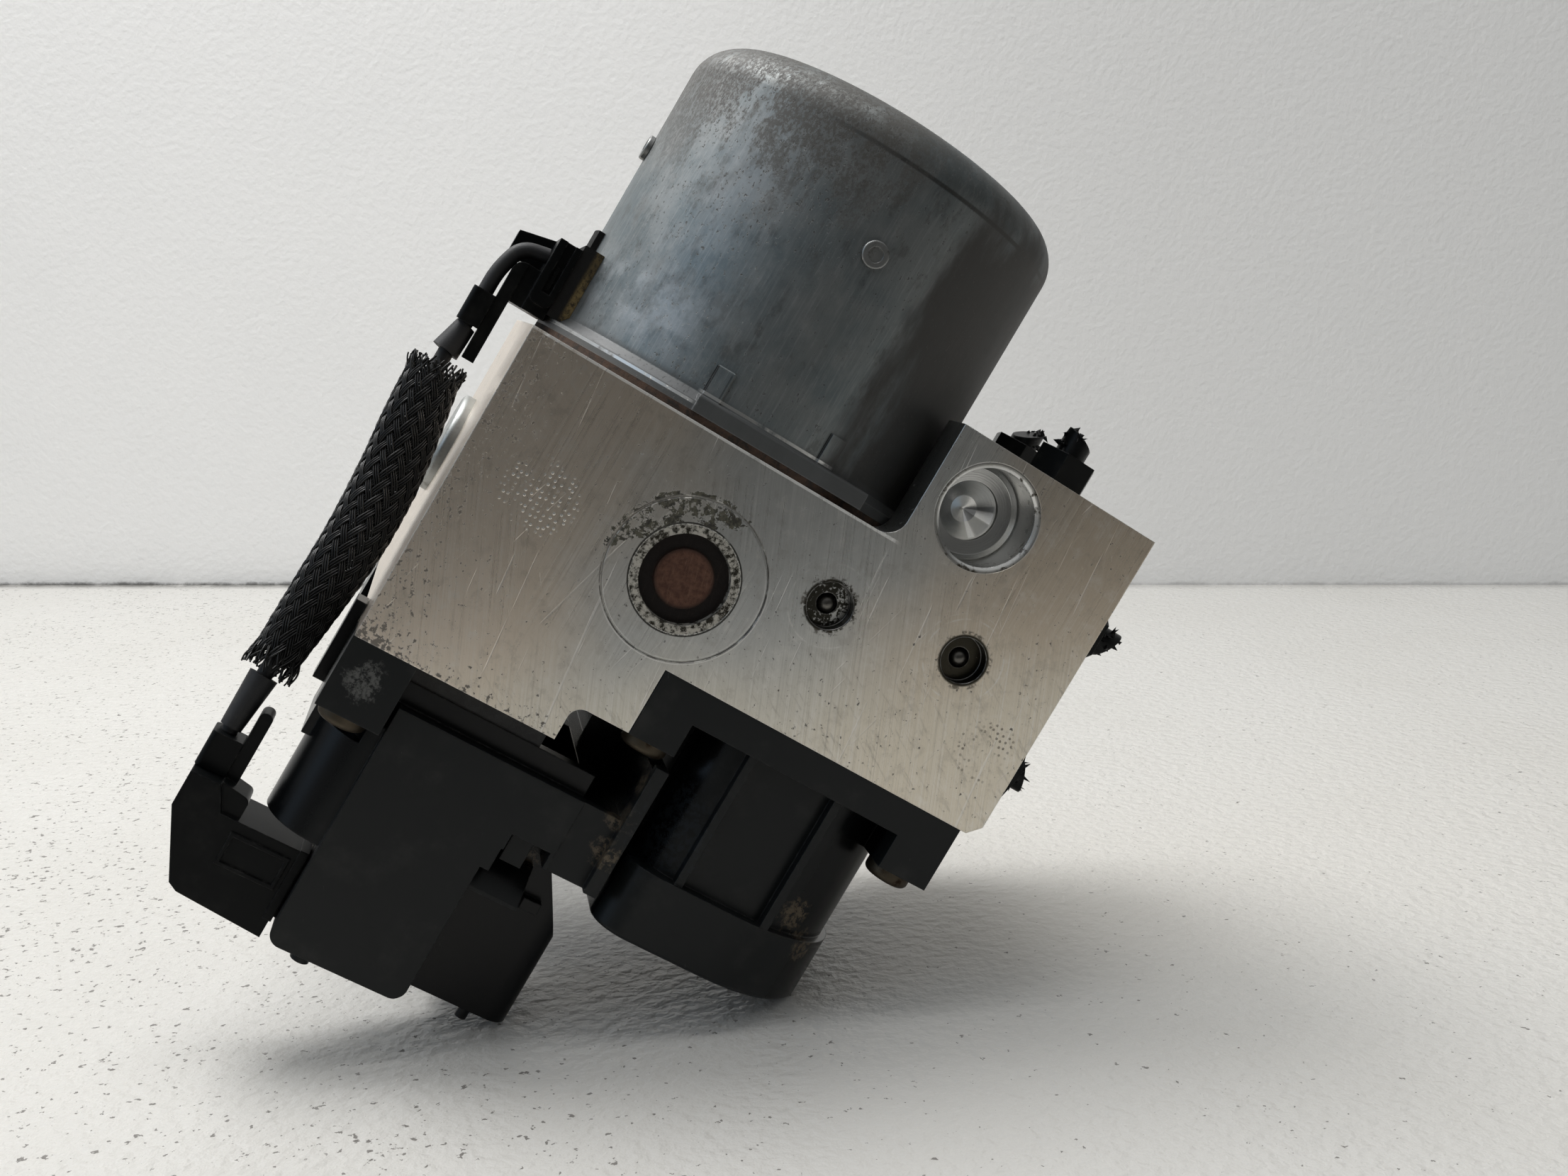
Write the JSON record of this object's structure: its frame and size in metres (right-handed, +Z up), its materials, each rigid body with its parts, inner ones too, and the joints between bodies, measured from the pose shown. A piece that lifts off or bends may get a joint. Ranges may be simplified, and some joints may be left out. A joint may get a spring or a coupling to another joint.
{
  "type": "abs brake module",
  "caption": "Machined brake pressure block with a pump motor on top, a moulded control unit below and a braided lead at the side.",
  "frame": {"origin": "midway between the two bracket holes, on the rear face of the valve block", "axes": "+X along the block to its raised side, +Y out of the rear face that the bracket holds, +Z up the motor shaft"},
  "size_m": [0.146, 0.0845, 0.1837],
  "materials": {
    "block_aluminium": "machined, scratched and stained",
    "bright_steel": "ground",
    "spring_steel": "drawn wire, bright",
    "cup_steel": "turned, dull in the floor",
    "plug_steel": "turned, stained",
    "cap_steel": "pressed, dull",
    "inner_aluminium": "turned",
    "gasket_brown": "fibre, rust stained",
    "can_zinc": "zinc plated, dull and stained",
    "rivet_steel": "upset, bright",
    "magnet_black": "pressed ferrite",
    "lamination_steel": "stacked sheet",
    "winding_copper": "enamelled copper",
    "black_plastic": "moulded, satin",
    "housing_plastic": "moulded, satin, dusty",
    "port_plug_plastic": "moulded, torn stem",
    "carbon": "pressed carbon",
    "screw_steel": "zinc plated, dull",
    "screw_rusty": "zinc plated, rusting",
    "contact_brass": "plated",
    "board_green": "laminate",
    "seal_rubber": "moulded",
    "pad_foam": "foam, yellowed and dirty",
    "cable_rubber": "matt",
    "braid_black": "braided, frayed ends"
  },
  "bodies": {
    "unit": {"valve_block": "block_aluminium", "ball_plugs": "bright_steel", "damper_cup": "cup_steel", "pump_plugs": "plug_steel", "pump_spring_front": "spring_steel", "pump_spring_rear": "spring_steel", "accumulator_caps": "cap_steel", "accumulator_spring_side": "spring_steel", "accumulator_spring_rear": "spring_steel", "motor_gasket": "gasket_brown", "motor_can": "can_zinc", "can_rivets": "rivet_steel", "motor_end_plate": "inner_aluminium", "base_bearing": "bright_steel", "top_bearing": "bright_steel", "nose_bearing": "bright_steel", "field_magnets": "magnet_black", "brush_holder": "black_plastic", "brush_spring_left": "spring_steel", "brush_spring_right": "spring_steel", "motor_screws": "screw_steel", "motor_terminals": "contact_brass", "valve_cartridges": "plug_steel", "solenoid_coils": "winding_copper", "ecu_housing": "housing_plastic", "ecu_cover": "housing_plastic", "circuit_board": "board_green", "ecu_seal": "seal_rubber", "ecu_screws": "screw_rusty", "signal_pins": "contact_brass", "power_pins": "contact_brass", "inlet_port_plugs": "port_plug_plastic", "outlet_port_plugs": "port_plug_plastic", "connector_pad": "pad_foam", "motor_connector": "black_plastic", "lead_cable": "cable_rubber", "lead_boots": "cable_rubber", "lead_clips": "black_plastic", "braided_sleeve": "braid_black", "lead_plug": "black_plastic"},
    "rotor": {"rotor_shaft": "bright_steel", "armature_core": "lamination_steel", "armature_windings": "winding_copper", "commutator": "winding_copper"},
    "eccentric_ring": {"eccentric_ring": "bright_steel"},
    "piston_front": {"pump_piston_front": "bright_steel"},
    "piston_rear": {"pump_piston_rear": "bright_steel"},
    "accumulator_piston_side": {"accumulator_piston_side": "inner_aluminium"},
    "accumulator_piston_rear": {"accumulator_piston_rear": "inner_aluminium"},
    "brush_left": {"brush_left": "carbon"},
    "brush_right": {"brush_right": "carbon"},
    "plunger_1": {"valve_plunger_1": "bright_steel"},
    "plunger_2": {"valve_plunger_2": "bright_steel"},
    "plunger_3": {"valve_plunger_3": "bright_steel"},
    "plunger_4": {"valve_plunger_4": "bright_steel"},
    "plunger_5": {"valve_plunger_5": "bright_steel"},
    "plunger_6": {"valve_plunger_6": "bright_steel"},
    "plunger_7": {"valve_plunger_7": "bright_steel"},
    "plunger_8": {"valve_plunger_8": "bright_steel"}
  },
  "joints": [
    {"name": "rotor_spin", "type": "hinge", "parent": "unit", "child": "rotor", "pos_m": [0, -0.041, 0], "axis": [0, 0, 1], "continuous": true},
    {"name": "eccentric_ring_spin", "type": "hinge", "parent": "rotor", "child": "eccentric_ring", "pos_m": [0.001, -0.041, 0], "axis": [0, 0, 1], "continuous": true},
    {"name": "piston_front_slide", "type": "slide", "parent": "unit", "child": "piston_front", "axis": [0, -1, 0], "range_m": [0, 0.0012], "stiffness_N_per_m": 4000, "springref_m": -0.0006, "deforming": ["pump_spring_front"]},
    {"name": "piston_rear_slide", "type": "slide", "parent": "unit", "child": "piston_rear", "axis": [0, 1, 0], "range_m": [0, 0.0012], "stiffness_N_per_m": 4000, "springref_m": -0.0006, "deforming": ["pump_spring_rear"]},
    {"name": "accumulator_side_slide", "type": "slide", "parent": "unit", "child": "accumulator_piston_side", "axis": [-1, 0, 0], "range_m": [0, 0.006], "stiffness_N_per_m": 3000, "springref_m": -0.004, "deforming": ["accumulator_spring_side"]},
    {"name": "accumulator_rear_slide", "type": "slide", "parent": "unit", "child": "accumulator_piston_rear", "axis": [0, 1, 0], "range_m": [0, 0.006], "stiffness_N_per_m": 3000, "springref_m": -0.004, "deforming": ["accumulator_spring_rear"]},
    {"name": "brush_left_slide", "type": "slide", "parent": "unit", "child": "brush_left", "axis": [-1, 0, 0], "range_m": [0, 0.0025], "stiffness_N_per_m": 400, "springref_m": -0.002, "deforming": ["brush_spring_left"]},
    {"name": "brush_right_slide", "type": "slide", "parent": "unit", "child": "brush_right", "axis": [1, 0, 0], "range_m": [0, 0.0025], "stiffness_N_per_m": 400, "springref_m": -0.002, "deforming": ["brush_spring_right"]},
    {"name": "plunger_1_slide", "type": "slide", "parent": "unit", "child": "plunger_1", "axis": [0, 0, 1], "range_m": [0, 0.0003], "stiffness_N_per_m": 2000, "springref_m": -0.0005},
    {"name": "plunger_2_slide", "type": "slide", "parent": "unit", "child": "plunger_2", "axis": [0, 0, 1], "range_m": [0, 0.0003], "stiffness_N_per_m": 2000, "springref_m": -0.0005},
    {"name": "plunger_3_slide", "type": "slide", "parent": "unit", "child": "plunger_3", "axis": [0, 0, 1], "range_m": [0, 0.0003], "stiffness_N_per_m": 2000, "springref_m": -0.0005},
    {"name": "plunger_4_slide", "type": "slide", "parent": "unit", "child": "plunger_4", "axis": [0, 0, 1], "range_m": [0, 0.0003], "stiffness_N_per_m": 2000, "springref_m": -0.0005},
    {"name": "plunger_5_slide", "type": "slide", "parent": "unit", "child": "plunger_5", "axis": [0, 0, 1], "range_m": [0, 0.0003], "stiffness_N_per_m": 2000, "springref_m": -0.0005},
    {"name": "plunger_6_slide", "type": "slide", "parent": "unit", "child": "plunger_6", "axis": [0, 0, 1], "range_m": [0, 0.0003], "stiffness_N_per_m": 2000, "springref_m": -0.0005},
    {"name": "plunger_7_slide", "type": "slide", "parent": "unit", "child": "plunger_7", "axis": [0, 0, 1], "range_m": [0, 0.0003], "stiffness_N_per_m": 2000, "springref_m": -0.0005},
    {"name": "plunger_8_slide", "type": "slide", "parent": "unit", "child": "plunger_8", "axis": [0, 0, 1], "range_m": [0, 0.0003], "stiffness_N_per_m": 2000, "springref_m": -0.0005}
  ]
}
